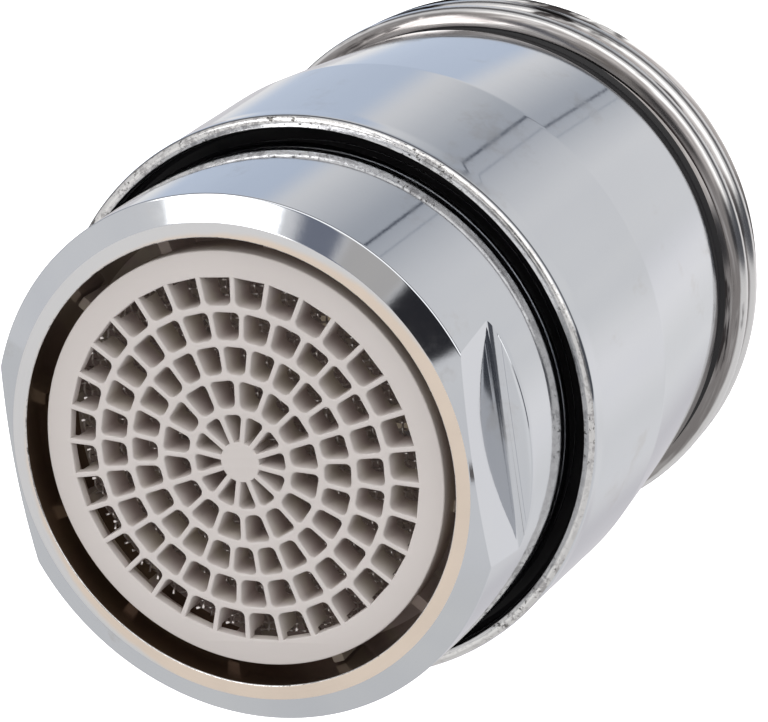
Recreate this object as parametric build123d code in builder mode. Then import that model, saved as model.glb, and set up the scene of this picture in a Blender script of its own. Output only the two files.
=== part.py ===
# Swivel tap aerator: a threaded sleeve holds a ball, and the ball carries an outlet cap with its insert
# Millimetres. +Z runs up the axis, from the inlet gasket at z = 0 to the outlet lip
from build123d import *
from math import acos, asin, cos, degrees, radians, sin
import os

# Sleeve, from its threaded inlet end up to its rim
thread_radius = 12.0
thread_length = 4.5
groove_depth = 0.95
groove_width = 0.6
body_drop = 0.72
barrel_length = 4.1
rear_taper_length = 4.8
ridge_drop = 0.25
front_taper_length = 5.0
rim_length = 2.5
rim_wall = 0.43
mouth_depth = 1.2
sleeve_wall = 1.7
lip_overhang = 0.7

# Clearances
turning_clearance = 0.05
push_clearance = 0.05
travel_clearance = 0.35

# Inlet gasket, and the bush behind the ball with a hexagon through it for a key
gasket_thickness = 2.0
gasket_stand = 0.5
gasket_width = 2.25
bush_wall = 3.25

# Ball joint
seal_wall = 0.6
seal_rise = 0.4
slip_ring_step = 0.4
slip_ring_height = 0.75
seat_angle = 15.0
ball_wall = 3.3
ball_rear_angle = 2.5
tilt_limit = 5.0
shank_drop = 0.37

# Outlet cap
cap_gap = 0.65
cap_length = 6.45
cap_wall = 1.12
flat_cut = 0.8
flat_length = 3.3
flat_corner = 0.4
nose_chamfer_height = 0.4
lip_width = 0.55
cap_seat_width = 0.38
cap_seat_depth = 3.9

# Insert that breaks up the jet
cap_gasket_thickness = 0.7
cap_gasket_width = 2.0
insert_flange_thickness = 0.8
jet_slot_count = 6
jet_slot_width = 0.6
jet_slot_length = 1.8
jet_inset = 1.9
post_count = 6
post_width = 1.4
post_depth = 0.8
gauze_thickness = 0.3
gauze_hole = 2.1
gauze_wire = 0.9
air_gap = 0.6
insert_turn = 15.0
face_recess = 0.5
grid_depth = 1.6
grid_rim = 1.0
grid_web = 0.18
hub_radius = 0.77
cells_per_ring = (12, 16, 24, 28, 32)
rib_count = 12
rib_width = 0.45
rib_root = 0.35
rib_recess = 1.0
rib_length = 1.8

# Sleeve's radii, inwards from the thread's crests
groove_radius = thread_radius - groove_depth
body_radius = thread_radius - body_drop
ridge_radius = thread_radius - ridge_drop
mouth_radius = body_radius - rim_wall
bore_radius = thread_radius - sleeve_wall
opening_radius = bore_radius - lip_overhang
turning_radius = bore_radius - turning_clearance
pushed_radius = bore_radius - push_clearance
gasket_bore_radius = pushed_radius - gasket_width
bush_hexagon_inradius = pushed_radius - bush_wall

# Ball's radii, inwards from the sleeve's bore
socket_radius = pushed_radius - seal_wall
ball_radius = socket_radius - turning_clearance
ball_bore_radius = ball_radius - ball_wall
slip_ring_mouth_radius = opening_radius - slip_ring_step
shank_radius = slip_ring_mouth_radius - shank_drop
ball_front_angle = degrees(acos(shank_radius / ball_radius))

# Cap's and insert's radii, from the shank that carries them
cap_thread_radius = shank_radius + push_clearance
cap_radius = cap_thread_radius + cap_wall
flat_distance = cap_radius - flat_cut
lip_radius = cap_thread_radius - cap_seat_width
lip_outer_radius = lip_radius + lip_width
cap_gasket_bore_radius = shank_radius - cap_gasket_width
jet_circle_radius = ball_bore_radius - jet_inset
insert_radius = lip_radius - air_gap
cells_radius = insert_radius - grid_rim
rib_root_radius = insert_radius - rib_root
rib_tip_radius = lip_radius - push_clearance
gauze_radius = rib_root_radius - push_clearance
gauze_pitch = gauze_hole + gauze_wire

# Heights along the axis
sleeve_end_z = gasket_stand
groove_z = sleeve_end_z + thread_length
barrel_z = groove_z + groove_width
rear_taper_z = barrel_z + barrel_length
ridge_z = rear_taper_z + rear_taper_length
front_taper_z = ridge_z + front_taper_length
rim_z = front_taper_z + rim_length
lip_under_z = rim_z - mouth_depth
cap_rear_z = rim_z + cap_gap
lip_z = cap_rear_z + cap_length
cap_seat_z = lip_z - cap_seat_depth
flange_under_z = cap_seat_z - insert_flange_thickness
shank_top_z = flange_under_z - cap_gasket_thickness
face_z = lip_z - face_recess
grid_back_z = face_z - grid_depth
gauze_under_z = grid_back_z - gauze_thickness
rib_top_z = face_z - rib_recess

# The slip ring's cone touches the ball all round at the seat angle, which places the ball's centre
slip_ring_top_z = lip_under_z - turning_clearance
seat_sin = sin(radians(seat_angle))
seat_cos = cos(radians(seat_angle))
seat_rise = (socket_radius - slip_ring_mouth_radius * seat_cos) / seat_sin
ball_z = slip_ring_top_z - seat_rise
slip_ring_under_z = slip_ring_top_z - slip_ring_height
slip_ring_under_radius = (socket_radius - (slip_ring_under_z - ball_z) * seat_sin) / seat_cos

# The bush stays clear of the ball's rear edge at full tilt
bush_top_z = ball_z - ball_radius * sin(radians(ball_rear_angle + tilt_limit)) - travel_clearance

os.makedirs("parts", exist_ok=True)

# Threaded sleeve: thread, relief groove, barrel that swells to a ridge, mouth and the lip that stops the ball
with BuildPart() as threaded_sleeve:
    with BuildSketch(Plane.XZ):
        with BuildLine():
            Polyline(
                (bore_radius, sleeve_end_z),
                (thread_radius, sleeve_end_z),
                (thread_radius, groove_z),
                (groove_radius, groove_z),
                (groove_radius, barrel_z),
                (body_radius, barrel_z),
                (body_radius, rear_taper_z),
                (ridge_radius, ridge_z),
                (body_radius, front_taper_z),
                (body_radius, rim_z),
                (mouth_radius, rim_z),
                (opening_radius, lip_under_z),
                (bore_radius, lip_under_z),
                close=True,
            )
        make_face()
    revolve(axis=Axis.Z)
threaded_sleeve.part.label = "threaded_sleeve"
export_step(threaded_sleeve.part, "parts/threaded_sleeve.step")

# Flat gasket at the inlet, standing a little out of the sleeve
with BuildPart() as inlet_gasket:
    with BuildSketch(Plane.XY):
        Circle(pushed_radius)
        Circle(gasket_bore_radius, mode=Mode.SUBTRACT)
    extrude(amount=gasket_thickness)
inlet_gasket.part.label = "inlet_gasket"
export_step(inlet_gasket.part, "parts/inlet_gasket.step")

# Retaining bush between the gasket and the ball's seal
with BuildPart() as retaining_bush:
    with BuildSketch(Plane.XY.offset(gasket_thickness)):
        Circle(pushed_radius)
        RegularPolygon(bush_hexagon_inradius, side_count=6, major_radius=False, mode=Mode.SUBTRACT)
    extrude(amount=bush_top_z - gasket_thickness)
retaining_bush.part.label = "retaining_bush"
export_step(retaining_bush.part, "parts/retaining_bush.step")

# Seal round the ball's middle
with BuildPart() as ball_seal:
    with BuildSketch(Plane.XY.offset(bush_top_z)):
        Circle(pushed_radius)
        Circle(socket_radius, mode=Mode.SUBTRACT)
    extrude(amount=ball_z + seal_rise - bush_top_z)
ball_seal.part.label = "ball_seal"
export_step(ball_seal.part, "parts/ball_seal.step")

# Slip ring in front of the ball, which turns with it under the sleeve's lip
with BuildPart() as slip_ring:
    with BuildSketch(Plane.XZ):
        with BuildLine():
            Polyline(
                (slip_ring_under_radius, slip_ring_under_z),
                (turning_radius, slip_ring_under_z),
                (turning_radius, slip_ring_top_z),
                (slip_ring_mouth_radius, slip_ring_top_z),
                close=True,
            )
        make_face()
    revolve(axis=Axis.Z)
slip_ring.part.label = "slip_ring"
export_step(slip_ring.part, "parts/slip_ring.step")

# Swivel ball, bored through, with the shank that the cap screws on
with BuildPart() as swivel_ball:
    with BuildSketch(Plane.XZ):
        with BuildLine():
            ball_sweep = ball_rear_angle + ball_front_angle
            ball_arc = CenterArc((0, ball_z), ball_radius, -ball_rear_angle, ball_sweep)
            Polyline(
                ball_arc @ 1,
                (shank_radius, shank_top_z),
                (ball_bore_radius, shank_top_z),
                (ball_bore_radius, (ball_arc @ 0).Y),
                ball_arc @ 0,
            )
        make_face()
    revolve(axis=Axis.Z)
swivel_ball.part.label = "swivel_ball"
export_step(swivel_ball.part, "parts/swivel_ball.step")

# Outlet cap: turned body with a chamfered nose, and two spanner flats with a round inner corner
with BuildPart() as outlet_cap:
    with BuildSketch(Plane.XZ):
        with BuildLine():
            Polyline(
                (cap_thread_radius, cap_rear_z),
                (cap_radius, cap_rear_z),
                (cap_radius, lip_z - nose_chamfer_height),
                (lip_outer_radius, lip_z),
                (lip_radius, lip_z),
                (lip_radius, cap_seat_z),
                (cap_thread_radius, cap_seat_z),
                close=True,
            )
        make_face()
    revolve(axis=Axis.Z)
    with BuildSketch(Plane.XZ) as flats:
        with Locations((flat_distance + flat_cut, lip_z), (-flat_distance - flat_cut, lip_z)):
            Rectangle(2 * flat_cut, 2 * flat_length)
        fillet(flats.vertices().group_by(Axis.Y)[0], flat_corner)
    extrude(amount=cap_radius, both=True, mode=Mode.SUBTRACT)
outlet_cap.part.label = "outlet_cap"
export_step(outlet_cap.part, "parts/outlet_cap.step")

# Gasket pressed between the shank and the insert's flange
with BuildPart() as cap_gasket:
    with BuildSketch(Plane.XY.offset(shank_top_z)):
        Circle(shank_radius)
        Circle(cap_gasket_bore_radius, mode=Mode.SUBTRACT)
    extrude(amount=cap_gasket_thickness)
cap_gasket.part.label = "cap_gasket"
export_step(cap_gasket.part, "parts/cap_gasket.step")

# Insert body: a flange on the cap's seat, slotted to split the water, with posts that let the air in
with BuildPart() as insert_body:
    with BuildSketch(Plane.XY.offset(flange_under_z)):
        Circle(shank_radius)
        with PolarLocations(jet_circle_radius, jet_slot_count):
            Rectangle(jet_slot_length, jet_slot_width, mode=Mode.SUBTRACT)
    extrude(amount=insert_flange_thickness)
    with BuildSketch(Plane.XY.offset(cap_seat_z)):
        with PolarLocations(gauze_radius - post_depth, post_count, start_angle=insert_turn):
            Rectangle(post_depth, post_width)
    extrude(amount=gauze_under_z - cap_seat_z)
insert_body.part.label = "insert_body"
export_step(insert_body.part, "parts/insert_body.step")

# Gauze between the posts and the outlet grid
holes_each_way = int(2 * gauze_radius / gauze_pitch)
hole_spots = GridLocations(gauze_pitch, gauze_pitch, holes_each_way, holes_each_way).local_locations
hole_reach = gauze_radius - gauze_hole
with BuildPart() as gauze_screen:
    with BuildSketch(Plane.XY.offset(gauze_under_z)):
        Circle(gauze_radius)
        with Locations([spot for spot in hole_spots if spot.position.length < hole_reach]):
            Rectangle(gauze_hole, gauze_hole, mode=Mode.SUBTRACT)
    extrude(amount=gauze_thickness)
gauze_screen.part.label = "gauze_screen"
export_step(gauze_screen.part, "parts/gauze_screen.step")

# Outlet grid: rings of cells about a hub, with ribs that centre it in the cap and grip the gauze
ring_step = (cells_radius - hub_radius + grid_web) / len(cells_per_ring)
with BuildPart() as outlet_grid:
    with BuildSketch(Plane.XY.offset(grid_back_z)):
        Circle(insert_radius)
    extrude(amount=grid_depth)
    with BuildSketch(Plane.XY.offset(rib_top_z)):
        with PolarLocations((rib_root_radius + rib_tip_radius) / 2, rib_count, start_angle=insert_turn):
            Rectangle(rib_tip_radius - rib_root_radius, rib_width)
    extrude(amount=-rib_length)
    for ring, cell_count in enumerate(cells_per_ring):
        inner_radius = hub_radius + ring * ring_step
        outer_radius = inner_radius + ring_step - grid_web
        half_turn = 180 / cell_count
        inner_half = half_turn - degrees(asin(grid_web / 2 / inner_radius))
        outer_half = half_turn - degrees(asin(grid_web / 2 / outer_radius))
        with BuildSketch() as cell:
            with BuildLine():
                Polyline(
                    Vector(inner_radius, 0).rotate(Axis.Z, -inner_half),
                    Vector(outer_radius, 0).rotate(Axis.Z, -outer_half),
                    Vector(outer_radius, 0).rotate(Axis.Z, outer_half),
                    Vector(inner_radius, 0).rotate(Axis.Z, inner_half),
                    close=True,
                )
            make_face()
        with BuildSketch(Plane.XY.offset(grid_back_z)):
            with PolarLocations(0, cell_count, start_angle=insert_turn + half_turn):
                add(cell.sketch)
        extrude(amount=grid_depth, mode=Mode.SUBTRACT)
outlet_grid.part.label = "outlet_grid"
export_step(outlet_grid.part, "parts/outlet_grid.step")

print("ball centre", round(ball_z, 3), "rim", round(rim_z, 3), "lip", round(lip_z, 3))
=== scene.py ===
import bmesh
import bpy
from math import cos, pi, radians, sin, sqrt, tan
from mathutils import Matrix, Vector


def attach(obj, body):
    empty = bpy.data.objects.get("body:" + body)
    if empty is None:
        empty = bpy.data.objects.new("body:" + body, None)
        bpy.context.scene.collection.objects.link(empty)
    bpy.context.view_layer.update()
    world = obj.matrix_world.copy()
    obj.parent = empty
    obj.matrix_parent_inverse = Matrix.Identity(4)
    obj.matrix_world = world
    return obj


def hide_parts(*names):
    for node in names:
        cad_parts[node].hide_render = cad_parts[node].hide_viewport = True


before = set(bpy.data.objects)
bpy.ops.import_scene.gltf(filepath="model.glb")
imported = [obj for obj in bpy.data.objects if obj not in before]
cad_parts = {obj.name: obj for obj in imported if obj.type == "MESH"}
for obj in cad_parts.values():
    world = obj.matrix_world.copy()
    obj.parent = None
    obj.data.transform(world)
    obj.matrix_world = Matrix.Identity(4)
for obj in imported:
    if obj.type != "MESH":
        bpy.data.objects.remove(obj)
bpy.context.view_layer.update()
mm = 0.001
near = 0.01  # mm, what counts as the same place
arcSteps = 5  # in a rounding that doesn't say otherwise


# Modelling helpers, sizes in mm

def clearPick():
    if bpy.context.object and bpy.context.object.mode != "OBJECT":
        bpy.ops.object.mode_set(mode="OBJECT")
    bpy.ops.object.select_all(action="DESELECT")


def useOnly(*pieces):
    clearPick()
    for piece in pieces:
        piece.select_set(True)
    bpy.context.view_layer.objects.active = pieces[0]


def intoMesh():  # place, turn and size go into the mesh
    bpy.ops.object.transform_apply(location=True, rotation=True, scale=True)


def weldAll(reach):  # in edit mode, reach in mm
    bpy.ops.mesh.select_all(action="SELECT")
    bpy.ops.mesh.remove_doubles(threshold=reach * mm)
    bpy.ops.mesh.normals_make_consistent(inside=False)


def pickEdges(piece, test):  # in edit mode, by place
    bpy.ops.mesh.select_mode(type="EDGE")
    bpy.ops.mesh.select_all(action="DESELECT")
    mesh = bmesh.from_edit_mesh(piece.data)
    for edge in mesh.edges:
        if test(*[v.co / mm for v in edge.verts]):
            edge.select_set(True)
    bmesh.update_edit_mesh(piece.data)


def turnRing(name, section, sides):  # a ring of edges drawn through a closed section of (radius, height)
    clearPick()
    radius, height = section[0]
    bpy.ops.mesh.primitive_circle_add(vertices=sides, radius=radius * mm, location=(0, 0, height * mm))
    piece = bpy.context.object
    piece.name = piece.data.name = name
    intoMesh()
    bpy.ops.object.mode_set(mode="EDIT")
    bpy.ops.mesh.select_all(action="SELECT")
    for nextRadius, nextHeight in section[1:] + section[:1]:
        bpy.ops.mesh.extrude_edges_move(TRANSFORM_OT_translate={"value": (0, 0, (nextHeight - height) * mm)})
        grow = nextRadius / radius
        bpy.ops.transform.resize(value=(grow, grow, 1), center_override=(0, 0, nextHeight * mm))
        radius, height = nextRadius, nextHeight
    weldAll(0.002)
    bpy.ops.object.mode_set(mode="OBJECT")
    return piece


def softCorners(corners, hold=0.035):  # (radius, height[, rounding[, steps]]): arcs, each held by a ring at its ends
    points = []
    for place, (radius, height, *soft) in enumerate(corners):
        spot = Vector((radius, height))
        if not soft:
            points.append((radius, height))
            continue
        rounding, steps = (*soft, arcSteps)[:2]
        before = (Vector(corners[place - 1][:2]) - spot).normalized()
        after = (Vector(corners[(place + 1) % len(corners)][:2]) - spot).normalized()
        half = before.angle(after) / 2
        reach = rounding / tan(half)
        middle = spot + (before + after).normalized() * (rounding / sin(half))
        first = spot + before * reach - middle
        sweep = first.angle_signed(spot + after * reach - middle)
        points.append(tuple(middle + first + before * hold))
        for step in range(steps + 1):
            points.append(tuple(middle + Matrix.Rotation(-sweep * step / steps, 2) @ first))
        points.append(tuple(spot + after * (reach + hold)))
    return points


def cutWith(piece, tool, operation):
    useOnly(piece)
    bpy.ops.object.modifier_add(type="BOOLEAN")
    cut = piece.modifiers[-1]
    cut.operation, cut.solver, cut.object = operation, "EXACT", tool
    bpy.ops.object.modifier_apply(modifier=cut.name)
    bpy.data.objects.remove(tool, do_unlink=True)


def smoothOver(piece, angle):  # crisp past the angle
    useOnly(piece)
    bpy.ops.object.shade_smooth_by_angle(angle=radians(angle))


def paintFaces(piece, finishes, choose):  # choose gives a face's finish from its radius, height, lean and place
    for finish in finishes:
        piece.data.materials.append(finish)
    for face in piece.data.polygons:
        spot = face.center / mm
        face.material_index = finishes.index(choose(spot.xy.length, spot.z, face.normal, spot))


def copyRound(piece, count, step):  # copies with their own mesh, turned about the axis and joined to the first
    copies = [piece]
    for place in range(1, count):
        useOnly(piece)
        bpy.ops.object.duplicate(linked=False)
        twin = bpy.context.object
        twin.matrix_world = Matrix.Rotation(step * place, 4, "Z") @ twin.matrix_world
        copies.append(twin)
    useOnly(*copies)
    intoMesh()
    useOnly(*copies)
    bpy.ops.object.join()
    return bpy.context.object


def putOn(piece, body, node):
    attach(piece, body)
    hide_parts(node)
    print(piece.name, len(piece.data.polygons), "faces")


# Shader helper: a socket that takes part in sums

class Wire:
    def __init__(self, tree, socket=None):
        self.tree, self.socket = tree, socket

    def add(self, kind, settings=None, sockets=None, output=0):
        node = self.tree.nodes.new(kind)
        for key, value in (settings or {}).items():
            setattr(node, key, value)
        for key, value in (sockets or {}).items():
            if isinstance(value, Wire):
                self.tree.links.new(value.socket, node.inputs[key])
            else:
                node.inputs[key].default_value = value
        return Wire(self.tree, node.outputs[output])

    def out(self, name):
        return Wire(self.tree, self.socket.node.outputs[name])

    def sum(self, operation, first, second=0.0):
        return self.add("ShaderNodeMath", {"operation": operation}, {0: first, 1: second})

    def __add__(self, other): return self.sum("ADD", self, other)
    def __radd__(self, other): return self.sum("ADD", other, self)
    def __sub__(self, other): return self.sum("SUBTRACT", self, other)
    def __rsub__(self, other): return self.sum("SUBTRACT", other, self)
    def __mul__(self, other): return self.sum("MULTIPLY", self, other)
    def __rmul__(self, other): return self.sum("MULTIPLY", other, self)
    def __truediv__(self, other): return self.sum("DIVIDE", self, other)
    def __pow__(self, other): return self.sum("POWER", self, other)

    def above(self, low, soft):  # 0 below, 1 above, soft between
        return self.add("ShaderNodeMapRange", {"interpolation_type": "SMOOTHSTEP"},
                        {0: self, 1: low - soft, 2: low + soft})

    def within(self, low, high, soft):  # 1 between low and high, soft at both ends
        return self.above(low, soft) * (1 - self.above(high, soft))

    def swing(self, amount):  # noise about its middle
        return (self - 0.5) * amount

    def blend(self, first, second):  # this value mixes two colours
        return self.add("ShaderNodeMix", {"data_type": "RGBA"}, {0: self, 6: first, 7: second}, output=2)


def newFinish(name, values):
    material = bpy.data.materials.new(name)
    material.use_nodes = True
    shader = material.node_tree.nodes["Principled BSDF"]
    for key, value in values.items():
        shader.inputs[key].default_value = value
    wire = Wire(material.node_tree)

    def feed(key, value):
        material.node_tree.links.new(value.socket, shader.inputs[key])
    place = wire.add("ShaderNodeTexCoord", output="Object")
    return material, wire, place, feed


def stretched(wire, place, grain, detail=2.0, rough=0.5):  # noise with its own grain in each direction, per mm
    spread = wire.add("ShaderNodeMapping", {}, {"Vector": place, "Scale": tuple(g / mm for g in grain)})
    return wire.add("ShaderNodeTexNoise", {}, {"Vector": spread, "Scale": 1.0, "Detail": detail, "Roughness": rough})


def even(grain):
    return grain, grain, grain


def apart(wire, place):  # x, y and height
    parts = wire.add("ShaderNodeSeparateXYZ", {}, {"Vector": place})
    return [parts.out(name) for name in "XYZ"]


def fromAxis(x, y):
    return (x * x + y * y) ** 0.5


def ringGrain(wire, place, along, across, detail, rough):  # noise drawn out round the axis
    x, y, z = apart(wire, place)
    steep = 0.8  # how much height counts beside radius
    wound = wire.add("ShaderNodeCombineXYZ", {}, {0: x, 1: y, 2: fromAxis(x, y) + z * steep})
    return stretched(wire, wound, (along, along, across), detail, rough)


def bumped(wire, height, depth, strength=1.0):  # depth in mm
    return wire.add("ShaderNodeBump", {}, {"Strength": strength, "Distance": depth * mm, "Height": height})


chromeLook = {"colour": (0.60, 0.615, 0.645, 1), "dull": (0.575, 0.59, 0.615, 1), "stain": (0.50, 0.48, 0.46, 1),
              "stainShare": 0.5, "stainRough": 0.08, "roughLow": 0.035, "roughHigh": 0.09, "ripple": 0.0016,
              "peelShare": 0.22}


def makeChrome(look):
    material, wire, place, feed = newFinish("polishedChrome", {"Metallic": 1.0})
    cloud = stretched(wire, place, even(0.16), detail=3.0)
    dried = stretched(wire, place, (0.28, 0.28, 0.2), detail=5.0, rough=0.65)
    stain = dried.above(0.64, soft=0.07)  # dried water
    clean = cloud.blend(look["colour"], look["dull"])
    feed("Base Color", (stain * look["stainShare"]).blend(clean, look["stain"]))
    smear = stretched(wire, place, (0.5, 0.5, 2.0), detail=4.0, rough=0.6)
    gloss = look["roughLow"] + smear * (look["roughHigh"] - look["roughLow"])
    feed("Roughness", gloss + stain * look["stainRough"])
    wave = stretched(wire, place, (0.12, 0.12, 1.5), detail=3.0, rough=0.6)
    peel = stretched(wire, place, even(3.5), detail=2.0, rough=0.6)
    feed("Normal", bumped(wire, wave + peel * look["peelShare"], look["ripple"]))
    return material


wornLook = {"colour": (0.66, 0.65, 0.64, 1), "dull": (0.33, 0.32, 0.32, 1), "pit": (0.10, 0.095, 0.09, 1),
            "mottle": 0.8, "leastMottle": 0.3, "leastPits": 0.15, "pitDeep": 0.6, "rough": 0.08, "roughMore": 0.22,
            "grit": 0.016}


def makeWornEdge(look):  # plating scuffed along the rims, pitted here and there
    material, wire, place, feed = newFinish("wornEdge", {"Metallic": 1.0})
    scuff = ringGrain(wire, place, along=0.7, across=7.0, detail=4.0, rough=0.65)
    wear = stretched(wire, place, even(0.16), detail=2.0).above(0.46, soft=0.07)  # worse in places
    mottle = stretched(wire, place, (2.4, 2.4, 4.0), detail=5.0, rough=0.75).above(0.53, soft=0.05)
    mottle = mottle * (look["leastMottle"] + wear * (1 - look["leastMottle"]))
    pits = stretched(wire, place, (3.6, 3.6, 5.0), detail=4.0, rough=0.7).above(0.615, soft=0.03)
    pits = pits * (look["leastPits"] + wear * (1 - look["leastPits"]))
    feed("Base Color", pits.blend((mottle * look["mottle"]).blend(look["colour"], look["dull"]), look["pit"]))
    feed("Roughness", look["rough"] + scuff * look["roughMore"])
    feed("Normal", bumped(wire, scuff - pits * look["pitDeep"], look["grit"]))
    return material


threadLook = {"colour": (0.66, 0.65, 0.645, 1), "shadedFlank": (0.36, 0.345, 0.34, 1), "brown": (0.22, 0.205, 0.20, 1),
              "dark": (0.035, 0.031, 0.031, 1), "crest": 11.79, "ragged": 0.25, "patchy": 0.9, "rough": 0.07,
              "roughMore": 0.18, "grit": 0.006}


def makeThreadChrome(look):  # crests painted bright and flanks painted dark, a painted highlight and painted shade, with old scale in streaks along the thread
    material, wire, place, feed = newFinish("threadChrome", {"Metallic": 1.0})
    streak = ringGrain(wire, place, along=0.16, across=4.5, detail=4.0, rough=0.62)
    patch = stretched(wire, place, (0.11, 0.11, 0.5), detail=3.0, rough=0.6)
    scale = (streak + patch.swing(look["patchy"])).above(0.61, soft=0.05)
    x, y, z = apart(wire, place)
    crest = (fromAxis(x, y) / mm + streak.swing(look["ragged"])).above(look["crest"], soft=0.05)  # painted highlight on the crests
    # painted shade on the flanks, with brown streaks
    shadedFlank = streak.within(0.40, 0.58, soft=0.08).blend(look["shadedFlank"], look["brown"])
    feed("Base Color", scale.blend(crest.blend(shadedFlank, look["colour"]), look["dark"]))
    feed("Roughness", look["rough"] + streak * look["roughMore"])
    feed("Normal", bumped(wire, streak, look["grit"]))
    return material


lipLook = {"bare": (0.75, 0.64, 0.54, 1), "dull": (0.63, 0.54, 0.46, 1), "plated": (0.60, 0.595, 0.60, 1),
           "toward": (-0.74, 0.67), "radius": 9, "ragged": 1.2, "middle": 8.75, "outward": 2.2,
           "rough": 0.34, "roughMore": 0.16, "platedGloss": 0.12, "rings": 14, "lathe": 0.004}


def makeBareLip(look):  # the plating is left on one side and worn to the brass on the other
    material, wire, place, feed = newFinish("bareLip", {"Metallic": 1.0})
    x, y, z = apart(wire, place)
    radius = fromAxis(x, y)
    blotch = stretched(wire, place, even(0.35), detail=4.0, rough=0.6)
    turned = (y * look["toward"][1] + x * look["toward"][0]) / (look["radius"] * mm)  # 1 on the plated side
    outer = (radius / mm - look["middle"]) * look["outward"]
    plated = (turned + blotch.swing(look["ragged"]) + outer).above(0.30, soft=0.3)
    feed("Base Color", plated.blend(blotch.blend(look["bare"], look["dull"]), look["plated"]))
    feed("Roughness", look["rough"] + blotch * look["roughMore"] - plated * look["platedGloss"])
    lathe = wire.add("ShaderNodeTexNoise", {"noise_dimensions": "1D"},
                     {"W": radius * (look["rings"] / mm), "Scale": 1.0, "Detail": 2.0})
    feed("Normal", bumped(wire, lathe, look["lathe"], strength=0.6))
    return material


gridLook = {"colour": (0.56, 0.52, 0.50, 1), "shade": (0.52, 0.48, 0.46, 1), "cellShade": (0.31, 0.238, 0.217, 1),
            "scale": (0.36, 0.31, 0.24, 1), "glow": (0.014, 0.011, 0.010, 1), "face": 28.56, "bottom": 27.25,
            "ragged": 0.3, "fade": 1.4, "rough": 0.46, "roughMore": 0.14, "grain": 0.004}


def makeGridPlastic(look):  # paler on the face, darker and browner down in the cells as painted shade, with blotches of scale
    material, wire, place, feed = newFinish("gridPlastic", {"IOR": 1.46, "Emission Strength": 1.0})
    cloud = stretched(wire, place, (0.22, 0.22, 0.3), detail=3.0, rough=0.55)
    x, y, z = apart(wire, place)
    high = z / mm + cloud.swing(look["ragged"])
    shown = wire.add("ShaderNodeMapRange", {}, {0: high, 1: look["bottom"], 2: look["face"]})
    old = stretched(wire, place, even(0.5), detail=3.0, rough=0.6).above(0.52, soft=0.08)
    shadedWalls = old.blend(look["cellShade"], look["scale"])
    feed("Base Color", (shown ** look["fade"]).blend(shadedWalls, cloud.blend(look["colour"], look["shade"])))
    feed("Emission Color", shown.blend(look["glow"], (0, 0, 0, 1)))  # painted glow deep in the cells, standing in for light that seeps through the thin walls
    grain = stretched(wire, place, even(5.0), detail=3.0, rough=0.6)
    feed("Roughness", look["rough"] + grain * look["roughMore"])
    feed("Normal", bumped(wire, grain, look["grain"], strength=0.5))
    return material


gauzeLook = {"colour": (0.92, 0.89, 0.86, 1), "dark": (0.40, 0.35, 0.32, 1), "rough": 0.20, "roughMore": 0.2,
             "dim": (0.004, 0.0035, 0.0035, 1), "paintedGlint": (0.60, 0.56, 0.54, 1), "glintFrom": 26.94}


def makeGauzeWire(look):
    material, wire, place, feed = newFinish("gauzeWire", {"Metallic": 1.0, "Emission Strength": 1.0})
    tone = stretched(wire, place, even(0.8), detail=2.0)
    feed("Base Color", tone.blend(look["colour"], look["dark"]))
    feed("Roughness", look["rough"] + tone * look["roughMore"])
    x, y, z = apart(wire, place)
    # the tops of the wires, where the painted glints go
    bent = (z / mm).above(look["glintFrom"], soft=0.012)
    paintedGlint = stretched(wire, place, even(2.6), detail=2.0).above(0.51, soft=0.04) * bent
    feed("Emission Color", paintedGlint.blend(look["dim"], look["paintedGlint"]))  # painted glints: the tops of the wires glow as if they caught light through the cells, the rest glows faintly
    return material


# the darkest colour here is painted shade for deep in the bore
brassLook = {"colour": (0.74, 0.57, 0.30, 1), "dull": (0.60, 0.44, 0.22, 1), "scale": (0.13, 0.10, 0.065, 1),
             "shadeFrom": 4.0, "ragged": 2, "rough": 0.24, "roughMore": 0.14, "lathe": 0.004}


def makeTurnedBrass(look):
    material, wire, place, feed = newFinish("turnedBrass", {"Metallic": 1.0})
    tone = stretched(wire, place, even(0.25), detail=4.0, rough=0.6)
    x, y, z = apart(wire, place)
    scale = (z / mm + tone.swing(look["ragged"])).above(look["shadeFrom"], soft=1.4)  # painted shade: darker further into the bore
    feed("Base Color", scale.blend(tone.blend(look["colour"], look["dull"]), look["scale"]))
    feed("Roughness", look["rough"] + tone * look["roughMore"])
    lathe = stretched(wire, place, (0.05, 0.05, 9.0), detail=2.0)
    feed("Normal", bumped(wire, lathe, look["lathe"], strength=0.5))
    return material


rubberLook = {"colour": (0.018, 0.018, 0.019, 1), "bloom": (0.040, 0.039, 0.038, 1), "rough": 0.55, "roughMore": 0.2,
              "grain": 0.01}


def makeRubber(look):
    material, wire, place, feed = newFinish("mattRubber", {"IOR": 1.5})
    bloom = stretched(wire, place, even(0.4), detail=4.0, rough=0.6)
    feed("Base Color", bloom.blend(look["colour"], look["bloom"]))
    feed("Roughness", look["rough"] + bloom * look["roughMore"])
    grain = stretched(wire, place, even(7.0), detail=2.0)
    feed("Normal", bumped(wire, grain, look["grain"], strength=0.6))
    return material


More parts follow.
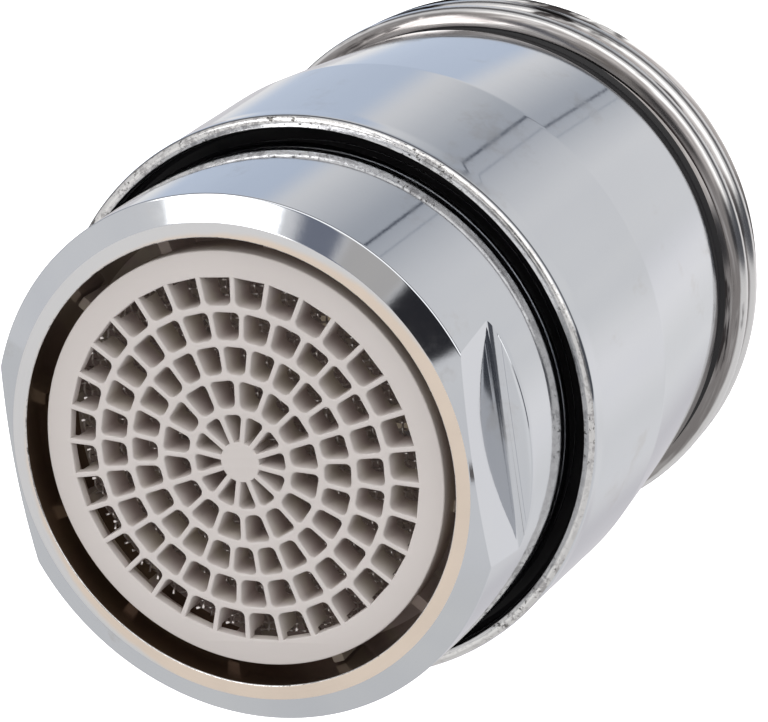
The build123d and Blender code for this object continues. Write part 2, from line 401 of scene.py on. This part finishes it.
cloudyLooks = {  # one noise drives colour and roughness
    "paintedShadeRecess": {  # painted shade, near black, in the relief groove and in the mouth below the rim
        "shader": {"IOR": 1.35}, "colour": (0.006, 0.006, 0.007, 1), "other": (0.016, 0.015, 0.016, 1),
        "grain": even(0.6), "detail": 4.0, "uneven": 0.6, "rough": 0.30, "roughMore": 0.25},
    # unplated brass, its colour darkened further as painted shade for the cap's bore and the faces under the seat
    "shadedInnerBrass": {
        "shader": {"Metallic": 1.0}, "colour": (0.36, 0.27, 0.19, 1), "other": (0.15, 0.115, 0.09, 1),
        "grain": (0.3, 0.3, 0.5), "detail": 4.0, "uneven": 0.6, "rough": 0.10, "roughMore": 0.16},
    "slipPlastic": {
        "shader": {"IOR": 1.48}, "colour": (0.016, 0.016, 0.018, 1), "other": (0.028, 0.028, 0.030, 1),
        "grain": even(0.5), "detail": 2.0, "uneven": 0.5, "rough": 0.16, "roughMore": 0.1},
    "dulledChrome": {  # the ball, dulled by scale
        "shader": {"Metallic": 1.0}, "colour": (0.30, 0.30, 0.31, 1), "other": (0.16, 0.155, 0.155, 1),
        "grain": even(0.4), "detail": 3.0, "uneven": 0.6, "rough": 0.24, "roughMore": 0.14}}


def makeCloudy(name, look):
    material, wire, place, feed = newFinish(name, look["shader"])
    tone = stretched(wire, place, look["grain"], look["detail"], look["uneven"])
    feed("Base Color", tone.blend(look["colour"], look["other"]))
    feed("Roughness", look["rough"] + tone * look["roughMore"])
    return material


chrome, wornEdge = makeChrome(chromeLook), makeWornEdge(wornLook)
threadChrome, bareLip = makeThreadChrome(threadLook), makeBareLip(lipLook)
gridPlastic, gauzeWire = makeGridPlastic(gridLook), makeGauzeWire(gauzeLook)
turnedBrass, mattRubber = makeTurnedBrass(brassLook), makeRubber(rubberLook)
paintedShadeRecess, shadedInnerBrass, slipPlastic, dulledChrome = [makeCloudy(name, look) for name, look in cloudyLooks.items()]
print("finishes ready")


# Outlet cap: turned with a slight flare, flats milled with a round cutter, lip worn bare

capSize = {"radius": 10.0, "rearRadius": 10.36, "rear": 22.15, "nose": 28.7, "lip": 29.1, "lipOut": 9.05, "lipIn": 8.5,
           "seat": 25.2, "screw": 8.88, "screwRound": 0.1, "rearRound": 0.1, "noseRound": 0.08, "lipOutRound": 0.03,
           "lipInRound": 0.05, "lipSkin": 0.005, "lipWear": 0.06, "flatAt": 9.2, "flatFrom": 25.8, "flatRound": 0.3,
           "flatSteps": 8, "millHold": 0.03, "shelfEdge": 0.05, "shelfNear": 0.004, "hold": 0.3, "brassTo": 0.1,
           "smooth": 20, "sides": 256}


def makeOutletCap(s):
    wholeTo = s["flatFrom"] - s["hold"]  # a ring here keeps the side below the flats whole
    below, ahead = wholeTo - s["rear"], s["nose"] - s["flatFrom"] + s["hold"]
    wholeRadius = (s["radius"] * below + s["rearRadius"] * ahead) / (s["nose"] - s["rear"])
    cap = turnRing("outletCap", softCorners([
        (s["screw"], s["rear"], s["screwRound"]), (s["rearRadius"], s["rear"], s["rearRound"]), (wholeRadius, wholeTo),
        (s["radius"], s["nose"], s["noseRound"]), (s["lipOut"], s["lip"], s["lipOutRound"], 2),
        (s["lipIn"], s["lip"], s["lipInRound"]), (s["lipIn"], s["seat"]), (s["screw"], s["seat"])]), s["sides"])
    for side in (1, -1):
        cutWith(cap, makeMill(s, side), "DIFFERENCE")
    useOnly(cap)
    bpy.ops.object.mode_set(mode="EDIT")
    pickEdges(cap, lambda a, b: all(
        abs(v.z - s["flatFrom"]) < s["shelfNear"] and v.xy.length > s["radius"] for v in (a, b)))
    bpy.ops.mesh.bevel(offset=s["shelfEdge"] * mm, segments=3, profile=0.5, affect="EDGES")  # outer edge of both steps
    bpy.ops.object.mode_set(mode="OBJECT")
    smoothOver(cap, s["smooth"])

    def finishOf(away, high, lean, spot):
        if high > s["lip"] - s["lipSkin"] and away < s["lipOut"]:
            return bareLip
        lipEdge = high > s["lip"] - s["lipWear"] and away < s["lipIn"] + s["lipWear"]
        if lipEdge or high < s["rear"] + s["rearRound"]:
            return wornEdge
        facesAxis = lean.xy.dot(spot.xy) < -0.5  # clearly, as level faces come out near 0
        underSeat = away < s["screw"] and high < s["seat"] + s["brassTo"]
        # faces towards the axis and under the seat take the brass with painted shade
        return shadedInnerBrass if facesAxis or underSeat else chrome
    paintFaces(cap, (chrome, bareLip, shadedInnerBrass, wornEdge), finishOf)
    putOn(cap, "outlet_head", "outlet_cap")


def makeMill(s, side):  # a block with one rounded edge, held by a cut on both sides of the rounding
    clearPick()
    wide, past = 2, 1
    depth = s["lip"] - s["flatFrom"] + past
    bpy.ops.mesh.primitive_cube_add(size=mm, location=(
        side * (s["flatAt"] + wide / 2) * mm, 0, (s["flatFrom"] + depth / 2) * mm))
    mill = bpy.context.object
    mill.scale = (wide, 3 * s["radius"], depth)
    intoMesh()
    bpy.ops.object.mode_set(mode="EDIT")
    pickEdges(mill, lambda a, b: all(abs(v.x) < s["flatAt"] + near and v.z < s["flatFrom"] + near for v in (a, b)))
    bpy.ops.mesh.bevel(offset=s["flatRound"] * mm, segments=s["flatSteps"], profile=0.5, affect="EDGES")
    hold = s["flatRound"] + s["millHold"]
    for spot, lean in (((side * (s["flatAt"] + hold), 0, 0), (1, 0, 0)), ((0, 0, s["flatFrom"] + hold), (0, 0, 1))):
        bpy.ops.mesh.select_all(action="SELECT")
        bpy.ops.mesh.bisect(plane_co=Vector(spot) * mm, plane_no=lean)
    bpy.ops.object.mode_set(mode="OBJECT")
    return mill


makeOutletCap(capSize)


# Threaded sleeve: turned body that swells to a ridge, helical thread on its root, relief groove and mouth painted dark
# as shade, thin worn rim

sleeveSize = {"bore": 10.3, "boreRound": 0.15, "end": 0.5, "root": 11.12, "threadTop": 5.0, "rootFall": 0.1,
              "groove": 11.05, "grooveTop": 5.6, "body": 11.3, "bodyRound": 0.05, "ridge": 11.66, "ridgeAt": 14.5,
              "ridgeRound": 2.0, "land": 21.2, "landRound": 6.0, "rim": 22.2, "rimRound": 0.26, "rimIn": 10.82,
              "rimFall": 0.12, "rimInRound": 0.05, "rimWear": 0.03, "rimShare": 0.3, "stepRound": 0.02,
              "lipUnder": 20.8, "opening": 9.6, "openingRound": 0.04, "brightEdge": 0.03, "smooth": 22, "sides": 256,
              "crest": 12.0, "pitch": 1.42, "toothDeep": 1.0, "toothHalf": 0.6, "toothSides": 28, "windings": 6,
              "windSteps": 144, "core": 0.3, "coreEnd": 0.1, "leadFoot": 0.12, "leadLow": 0.02, "leadHigh": 0.6,
              "runOut": 3.95, "runRound": 0.2, "runEnd": 4.6, "runShare": 0.6875, "runFoot": 0.03}
mouthSteps = ((10.82, 21.80), (10.76, 21.76), (10.76, 21.30), (10.62, 21.12), (10.14, 21.02), (10.10, 20.96))


def makeSleeve(s, steps):  # steps are turned in the mouth below the rim
    sleeve = turnRing("threadedSleeve", softCorners([
        (s["bore"], s["end"], s["boreRound"]), (s["root"], s["end"]), (s["root"], s["threadTop"] - s["rootFall"]),
        (s["groove"], s["threadTop"]), (s["groove"], s["grooveTop"]), (s["body"], s["grooveTop"], s["bodyRound"]),
        (s["ridge"], s["ridgeAt"], s["ridgeRound"], 4), (s["body"], s["land"], s["landRound"], 4),
        (s["body"], s["rim"], s["rimRound"], 8), (s["rimIn"], s["rim"] - s["rimFall"], s["rimInRound"]),
        *[(*spot, s["stepRound"], 3) for spot in steps],
        (s["opening"], s["lipUnder"], s["openingRound"]), (s["bore"], s["lipUnder"])]), s["sides"])
    cutWith(sleeve, makeThread(s), "UNION")
    smoothOver(sleeve, s["smooth"])
    bright = [Vector(spot) for spot in (steps[1], steps[4], (s["opening"], s["lipUnder"]))]  # the steps' sharp edges
    rimFoot = s["rim"] - s["rimFall"] - s["rimWear"]
    rimOut = s["body"] - s["rimRound"] * s["rimShare"]

    def finishOf(away, high, lean, spot):
        if high > rimFoot and away < rimOut:
            return wornEdge
        # the mouth's steps take painted shade, only their sharp edges stay chrome
        if high > s["lipUnder"] - near and away < s["rimIn"] + near:
            edgeOff = min((Vector((away, high)) - edge).length for edge in bright)
            return chrome if edgeOff < s["brightEdge"] else paintedShadeRecess
        if high > s["grooveTop"] - near:
            return chrome
        # the relief groove takes painted shade
        return paintedShadeRecess if high > s["runOut"] and away < s["body"] else threadChrome
    paintFaces(sleeve, (chrome, wornEdge, paintedShadeRecess, threadChrome), finishOf)
    putOn(sleeve, "sleeve", "threaded_sleeve")


def makeThread(s):  # a rounded tooth wound up a helix, trimmed to a blank with a lead-in and a run-out
    clearPick()
    start = s["end"] - s["pitch"]
    bpy.ops.mesh.primitive_circle_add(vertices=s["toothSides"], radius=mm, rotation=(pi / 2, 0, 0),
                                      location=((s["crest"] - s["toothDeep"]) * mm, 0, start * mm))
    thread = bpy.context.object
    thread.name = thread.data.name = "thread"
    thread.scale = (s["toothDeep"], s["toothHalf"], 1)
    intoMesh()
    bpy.ops.object.modifier_add(type="SCREW")
    wind = thread.modifiers[-1]
    wind.angle, wind.screw_offset, wind.iterations = 2 * pi, s["pitch"] * mm, s["windings"]
    wind.steps = wind.render_steps = s["windSteps"]
    wind.use_merge_vertices = False
    bpy.ops.object.modifier_apply(modifier=wind.name)
    bpy.ops.object.mode_set(mode="EDIT")
    weldAll(0.001)
    bpy.ops.mesh.select_mode(type="EDGE")
    bpy.ops.mesh.select_all(action="DESELECT")
    bpy.ops.mesh.select_non_manifold()
    bpy.ops.mesh.fill_holes(sides=0)
    bpy.ops.mesh.select_all(action="SELECT")
    bpy.ops.mesh.normals_make_consistent(inside=False)
    bpy.ops.object.mode_set(mode="OBJECT")
    inside = s["root"] - s["core"]
    runMiddle = s["runOut"] + (s["runEnd"] - s["runOut"]) * s["runShare"]
    blank = turnRing("threadBlank", softCorners([
        (inside, s["end"] + s["coreEnd"]), (s["root"] + s["leadFoot"], s["end"] + s["leadLow"]),
        (s["crest"], s["end"] + s["leadHigh"]), (s["crest"], s["runOut"], s["runRound"], 4), (s["body"], runMiddle),
        (s["root"] - s["runFoot"], s["runEnd"]), (inside, s["runEnd"] + s["coreEnd"])]), s["sides"])
    cutWith(thread, blank, "INTERSECT")
    return thread


makeSleeve(sleeveSize, mouthSteps)


# Slip ring in the mouth, its edges rounded so that they catch the light

ringSize = {"under": 20.0, "top": 20.75, "underIn": 9.401, "topIn": 9.2, "outside": 10.25, "edge": 0.07, "smooth": 24,
            "sides": 192}


def makeSlipRing(s):
    ring = turnRing("slipRing", softCorners([
        (s["underIn"], s["under"], s["edge"], 4), (s["outside"], s["under"], s["edge"]),
        (s["outside"], s["top"], s["edge"]), (s["topIn"], s["top"], s["edge"], 6)]), s["sides"])
    smoothOver(ring, s["smooth"])
    ring.data.materials.append(slipPlastic)
    putOn(ring, "slip_ring", "slip_ring")


makeSlipRing(ringSize)


# Outlet grid: cell outlines drawn once a ring, copied round, filled between and rounded at the edges

gridSize = {"radius": 7.9, "cells": 6.9, "hub": 0.77, "counts": (12, 16, 24, 28, 32), "web": 0.20, "ringWeb": 0.26,
            "face": 28.6, "back": 27.0, "edge": 0.06, "corner": 0.2, "leastWide": 0.1, "skin": 0.38, "skirt": 7.68,
            "hollowIn": 0.12, "hollowPast": 0.2, "webBack": 27.35, "webReach": 0.2, "webPast": 0.3, "cutSides": 192,
            "smooth": 35, "turn": 15.0, "ribs": 12, "ribIn": 7.55, "ribOut": 8.45, "ribWide": 0.45, "ribTop": 27.6,
            "ribLow": 25.8, "ribEdge": 0.06}


def makeGrid(s):
    step = (s["cells"] - s["hub"] + s["ringWeb"]) / len(s["counts"])
    outlines = []
    for ring, count in enumerate(s["counts"]):
        inner = s["hub"] + ring * step
        outer = inner + step - s["ringWeb"]
        rounded = [radius for radius, wanted in ((inner, ring > 0), (outer, ring < len(s["counts"]) - 1)) if wanted]
        outlines.append(copyRound(drawCell(s, inner, outer, count, rounded), count, 2 * pi / count))
    clearPick()
    bpy.ops.curve.primitive_bezier_circle_add(radius=s["radius"] * mm)
    grid = bpy.context.object
    grid.name = grid.data.name = "outletGrid"
    useOnly(grid, *outlines)
    bpy.ops.object.join()
    shape = grid.data
    shape.dimensions, shape.fill_mode, shape.resolution_u = "2D", "BOTH", 48
    depth = s["face"] - s["back"]
    shape.bevel_depth, shape.bevel_resolution = s["edge"] * mm, 2
    shape.extrude, shape.offset = (depth / 2 - s["edge"]) * mm, -s["edge"] * mm
    bpy.ops.object.convert(target="MESH")
    grid = bpy.context.object
    grid.location.z = (s["face"] + s["back"]) / 2 * mm
    intoMesh()
    bpy.ops.object.mode_set(mode="EDIT")
    weldAll(0.001)
    bpy.ops.object.mode_set(mode="OBJECT")
    hollowIn, hollowLow, hollowTop = s["cells"] - s["hollowIn"], s["back"] - s["hollowPast"], s["face"] - s["skin"]
    hollow = turnRing("gridHollow", [(hollowIn, hollowLow), (s["skirt"], hollowLow), (s["skirt"], hollowTop),
                                     (hollowIn, hollowTop)], s["cutSides"])
    cutWith(grid, hollow, "DIFFERENCE")  # the outermost cells are open behind a thin face
    clearPick()
    bpy.ops.mesh.primitive_cylinder_add(
        vertices=s["cutSides"], radius=(s["cells"] + s["webReach"]) * mm,
        depth=(s["webBack"] - s["back"] + s["webPast"]) * mm,
        location=(0, 0, (s["webBack"] + s["back"] - s["webPast"]) / 2 * mm))
    cutWith(grid, bpy.context.object, "DIFFERENCE")  # the webs end above the gauze
    useOnly(grid, makeRibs(s))
    bpy.ops.object.join()
    smoothOver(grid, s["smooth"])
    grid.data.materials.clear()
    grid.data.materials.append(gridPlastic)
    putOn(grid, "outlet_head", "outlet_grid")


def drawCell(s, inner, outer, count, rounded):  # a plane's corners pulled to the cell, then rounded
    half = pi / count
    middle = radians(s["turn"]) + half
    clearPick()
    bpy.ops.mesh.primitive_plane_add(size=mm, location=((inner + outer) / 2 * mm, 0, 0))
    cell = bpy.context.object
    cell.scale = (outer - inner, 1, 1)
    intoMesh()
    bpy.ops.object.mode_set(mode="EDIT")
    for radius in (inner, outer):
        width = 2 * (radius * sin(half) - s["web"] / 2)
        pickEdges(cell, lambda a, b: abs(a.x - radius) < near and abs(b.x - radius) < near)
        bpy.ops.transform.resize(value=(1, max(width, s["leastWide"]), 1), center_override=(radius * mm, 0, 0))
    for radius in rounded:
        pickEdges(cell, lambda a, b: abs(a.x - radius) < near and abs(b.x - radius) < near)
        bpy.ops.mesh.bevel(offset=s["corner"] * mm, segments=4, affect="VERTICES")
    bpy.ops.mesh.select_mode(type="VERT")
    bpy.ops.mesh.select_all(action="SELECT")
    bpy.ops.mesh.delete(type="ONLY_FACE")
    bpy.ops.object.mode_set(mode="OBJECT")
    cell.matrix_world = Matrix.Rotation(middle, 4, "Z")
    intoMesh()
    bpy.ops.object.convert(target="CURVE")
    return bpy.context.object


def makeRibs(s):
    clearPick()
    bpy.ops.mesh.primitive_cube_add(size=mm, location=(
        (s["ribIn"] + s["ribOut"]) / 2 * mm, 0, (s["ribTop"] + s["ribLow"]) / 2 * mm))
    rib = bpy.context.object
    rib.name = "gridRib"
    rib.scale = (s["ribOut"] - s["ribIn"], s["ribWide"], s["ribTop"] - s["ribLow"])
    intoMesh()
    bpy.ops.object.mode_set(mode="EDIT")
    pickEdges(rib, lambda a, b: min(a.x, b.x) > s["ribIn"] + near)
    bpy.ops.mesh.bevel(offset=s["ribEdge"] * mm, segments=2, affect="EDGES")
    bpy.ops.object.mode_set(mode="OBJECT")
    rib.matrix_world = Matrix.Rotation(radians(s["turn"]), 4, "Z") @ rib.matrix_world
    intoMesh()
    return copyRound(rib, s["ribs"], 2 * pi / s["ribs"])


makeGrid(gridSize)


# Gauze: wires that pass over and under each other

gauzeSize = {"radius": 7.5, "pitch": 0.29, "wire": 0.042, "low": 26.7, "high": 27.0, "overshoot": 1.3, "smooth": 70}


def makeGauze(s):
    level = (s["low"] + s["high"]) / 2
    lift = (s["high"] - s["low"]) / 2 - s["wire"]
    reach = int(s["radius"] / s["pitch"])
    wires = []
    for across in (0, 1):
        for place in range(-reach, reach + 1):
            off = place * s["pitch"]
            half = sqrt(s["radius"] ** 2 - off ** 2) - s["wire"]
            crossings = int(half / s["pitch"])
            if crossings < 2:
                continue
            clearPick()
            bpy.ops.curve.primitive_nurbs_path_add()
            wire = bpy.context.object
            path = wire.data.splines[0]
            stops = [n * s["pitch"] for n in range(-crossings, crossings + 1)]
            path.points.add(len(stops) - len(path.points))
            for point, along in zip(path.points, stops):
                over = 1 if (round(along / s["pitch"]) + place + across) % 2 else -1
                x, y = (off, along) if across else (along, off)
                point.co = (x * mm, y * mm, (level + over * lift * s["overshoot"]) * mm, 1)
            wire.data.bevel_depth, wire.data.bevel_resolution, wire.data.resolution_u = s["wire"] * mm, 0, 2
            path.order_u = 3
            path.use_endpoint_u = True
            wire.data.use_fill_caps = True
            wires.append(wire)
    useOnly(*wires)
    bpy.ops.object.convert(target="MESH")
    bpy.ops.object.join()
    gauze = bpy.context.object
    gauze.name = gauze.data.name = "wovenGauze"
    intoMesh()
    bpy.ops.object.shade_smooth_by_angle(angle=radians(s["smooth"]))
    gauze.data.materials.clear()
    gauze.data.materials.append(gauzeWire)
    putOn(gauze, "outlet_head", "gauze_screen")


makeGauze(gauzeSize)


# Inlet end: gasket with rounded edges, bush with a countersunk hexagon

gasketSize = {"inside": 8.0, "outside": 10.25, "thick": 2.0, "edge": 0.22, "smooth": 30, "sides": 128}


def makeGasket(s):
    gasket = turnRing("inletGasket", softCorners([(radius, height, s["edge"]) for radius, height in (
        (s["inside"], 0.0), (s["outside"], 0.0), (s["outside"], s["thick"]), (s["inside"], s["thick"]))]), s["sides"])
    smoothOver(gasket, s["smooth"])
    gasket.data.materials.append(mattRubber)
    putOn(gasket, "sleeve", "inlet_gasket")


makeGasket(gasketSize)

bushSize = {"outside": 10.25, "low": 2.0, "high": 16.197, "edge": 0.2, "hexagon": 7.0, "stock": 0.6, "sink": 0.5,
            "sinkWide": 0.05, "past": 1, "smooth": 30, "sides": 128}


def makeBush(s):
    inside = s["hexagon"] - s["stock"]
    bush = turnRing("retainingBush", softCorners([
        (inside, s["low"]), (s["outside"], s["low"], s["edge"]), (s["outside"], s["high"], s["edge"]),
        (inside, s["high"])]), s["sides"])
    clearPick()
    corner = s["hexagon"] / cos(pi / 6)
    middle, tall = (s["low"] + s["high"]) / 2, s["high"] - s["low"] + 2 * s["past"]
    bpy.ops.mesh.primitive_cylinder_add(vertices=6, radius=corner * mm, depth=tall * mm, location=(0, 0, middle * mm),
                                        rotation=(0, 0, pi / 6))
    key = bpy.context.object
    intoMesh()
    cutWith(bush, key, "DIFFERENCE")
    clearPick()
    wide = corner + s["sinkWide"]
    bpy.ops.mesh.primitive_cone_add(
        vertices=s["sides"], radius1=(wide + s["past"]) * mm, radius2=(wide - s["past"] - 2 * s["sink"]) * mm,
        depth=2 * (s["past"] + s["sink"]) * mm, location=(0, 0, (s["low"] + s["sink"]) * mm))
    sink = bpy.context.object
    intoMesh()
    cutWith(bush, sink, "DIFFERENCE")
    smoothOver(bush, s["smooth"])
    bush.data.materials.append(turnedBrass)
    putOn(bush, "sleeve", "retaining_bush")


makeBush(bushSize)

# The solids that stay as they are take their finish
# the insert body takes the grid's plastic with its painted shade and painted glow
for node, finish in (("swivel_ball", dulledChrome), ("ball_seal", mattRubber), ("cap_gasket", mattRubber),
                     ("insert_body", gridPlastic)):
    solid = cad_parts[node]
    if not solid.material_slots:
        solid.data.materials.append(finish)
    for held in solid.material_slots:
        held.material = finish
print("pieces done")


# Stage: white floor, a light tent all round, and the camera

floorLook = {"wide": 1200, "drop": 0.02, "colour": (0.9, 0.9, 0.9, 1), "glow": 0.9, "shadowWithin": 9.5}


def makeFloor(s):
    clearPick()
    bpy.ops.mesh.primitive_plane_add(size=s["wide"] * mm, location=(0, 0, -s["drop"] * mm))
    floor = bpy.context.object
    floor.name = "floor"
    material, wire, place, feed = newFinish(
        "paleFloor", {"Roughness": 0.9, "Base Color": s["colour"], "Emission Strength": s["glow"]})
    x, y, z = apart(wire, place)
    lit = (fromAxis(x, y) / mm).above(s["shadowWithin"], soft=0.5)
    feed("Emission Color", lit.blend((0, 0, 0, 1), (1, 1, 1, 1)))  # painted shadow: no glow in under the part
    floor.data.materials.append(material)
    floor.visible_glossy = False


tentLook = {"upper": (0.86, 0.86, 0.87, 1), "lower": (0.88, 0.88, 0.89, 1), "lowerTo": -20, "lowerSoft": 4,
            "cloudLow": (0.90, 0.905, 0.93, 1), "cloudHigh": (1.10, 1.09, 1.06, 1), "foldScale": 4.0}
tentPanels = (  # azimuth and its softness, height and its softness in degrees, brightness
    ((-190, -60, 14), (-8, 48, 6), (0.79, 0.79, 0.79)),
    ((-14, 192, 6), (-32, -4, 6), (0.15, 0.15, 0.16)),  # dark edge of the table
    ((58, 92, 22), (-120, -34, 4), (0.47, 0.50, 0.55)),  # dim gap between two panels
    ((114, 170, 8), (-120, -34, 4), (0.62, 0.70, 0.84)),  # bluer panel past it
    ((-46, -16, 12), (-120, -34, 4), (1.02, 1.01, 1.02)),
    ((-190, -86, 14), (-120, -34, 4), (0.66, 0.65, 0.68)),
    ((70.4, 71.6, 0.4), (-120, -34, 4), (0.06, 0.07, 0.10)),  # seams of the tent
    ((63.0, 63.7, 0.3), (-120, -34, 4), (0.40, 0.43, 0.48)),
    ((-17.6, 3, 0.8), (-34, 46, 6), (0.10, 0.105, 0.12)),  # dark upright strip
    ((-46, -40, 1), (58.5, 62, 1), (0.10, 0.085, 0.08)),
    ((56, 88, 3), (60, 84, 5), (0.60, 0.58, 0.56)),
    ((4, 102, 8), (14, 54, 4), (1.8, 1.8, 1.8)),  # low light bar in front
    ((-185, -110, 10), (48, 80, 5), (1.05, 1.05, 1.05)),
    ((113, 140, 2), (36, 66, 3), (5.0, 5.0, 5.0)),  # soft box
    ((90, 106, 3), (50, 80, 6), (0.22, 0.24, 0.30)),
    ((8, 54, 3), (60, 84, 5), (0.03, 0.03, 0.035)))  # dark of the camera


def makeTent(s, panels):
    world = bpy.data.worlds.new("lightTent")
    bpy.context.scene.world = world
    world.use_nodes = True
    tree = world.node_tree
    wire = Wire(tree)
    outward = wire.add("ShaderNodeTexCoord", output="Generated")
    x, y, z = apart(wire, outward)
    about = wire.sum("ARCTAN2", y, x) * (180 / pi)
    height = wire.sum("ARCSINE", z) * (180 / pi)
    tone = height.above(s["lowerTo"], s["lowerSoft"]).blend(s["lower"], s["upper"])
    for across, upright, colour in panels:
        tone = (about.within(*across) * height.within(*upright)).blend(tone, (*colour, 1))
    folds = wire.add("ShaderNodeTexNoise", {}, {"Vector": outward, "Scale": s["foldScale"], "Detail": 3.0})
    tone = wire.add("ShaderNodeMix", {"data_type": "RGBA", "blend_type": "MULTIPLY"},
                    {0: 1.0, 6: tone, 7: folds.blend(s["cloudLow"], s["cloudHigh"])}, output=2)
    back = wire.add("ShaderNodeBackground", {}, {"Color": tone, "Strength": 1.0})
    end = tree.nodes.get("World Output") or tree.nodes.new("ShaderNodeOutputWorld")
    tree.links.new(back.socket, end.inputs["Surface"])


cameraSize = {"focal": 2543.07, "pictureWide": 768, "sensor": 36, "spot": (42.26, 27.18, 105.21),
              "right": (0.9119, -0.1444, -0.3841), "up": (0.0232, 0.9527, -0.3031),
              "ahead": (-0.4097, -0.2675, -0.8721)}


def makeCamera(s):
    lens = bpy.data.cameras.new("photoView")
    lens.sensor_width, lens.sensor_fit = s["sensor"], "HORIZONTAL"
    lens.lens = s["focal"] / s["pictureWide"] * s["sensor"]
    lens.clip_start, lens.clip_end = 0.005, 10
    camera = bpy.data.objects.new("photoView", lens)
    bpy.context.scene.collection.objects.link(camera)
    right, up, back = Vector(s["right"]), Vector(s["up"]), -Vector(s["ahead"])
    turn = Matrix((right, up, back)).transposed().to_4x4()
    camera.matrix_world = Matrix.Translation(Vector(s["spot"]) * mm) @ turn
    bpy.context.scene.camera = camera


makeFloor(floorLook)
makeTent(tentLook, tentPanels)
makeCamera(cameraSize)
bpy.context.scene.view_settings.view_transform = "Standard"
print("stage done")
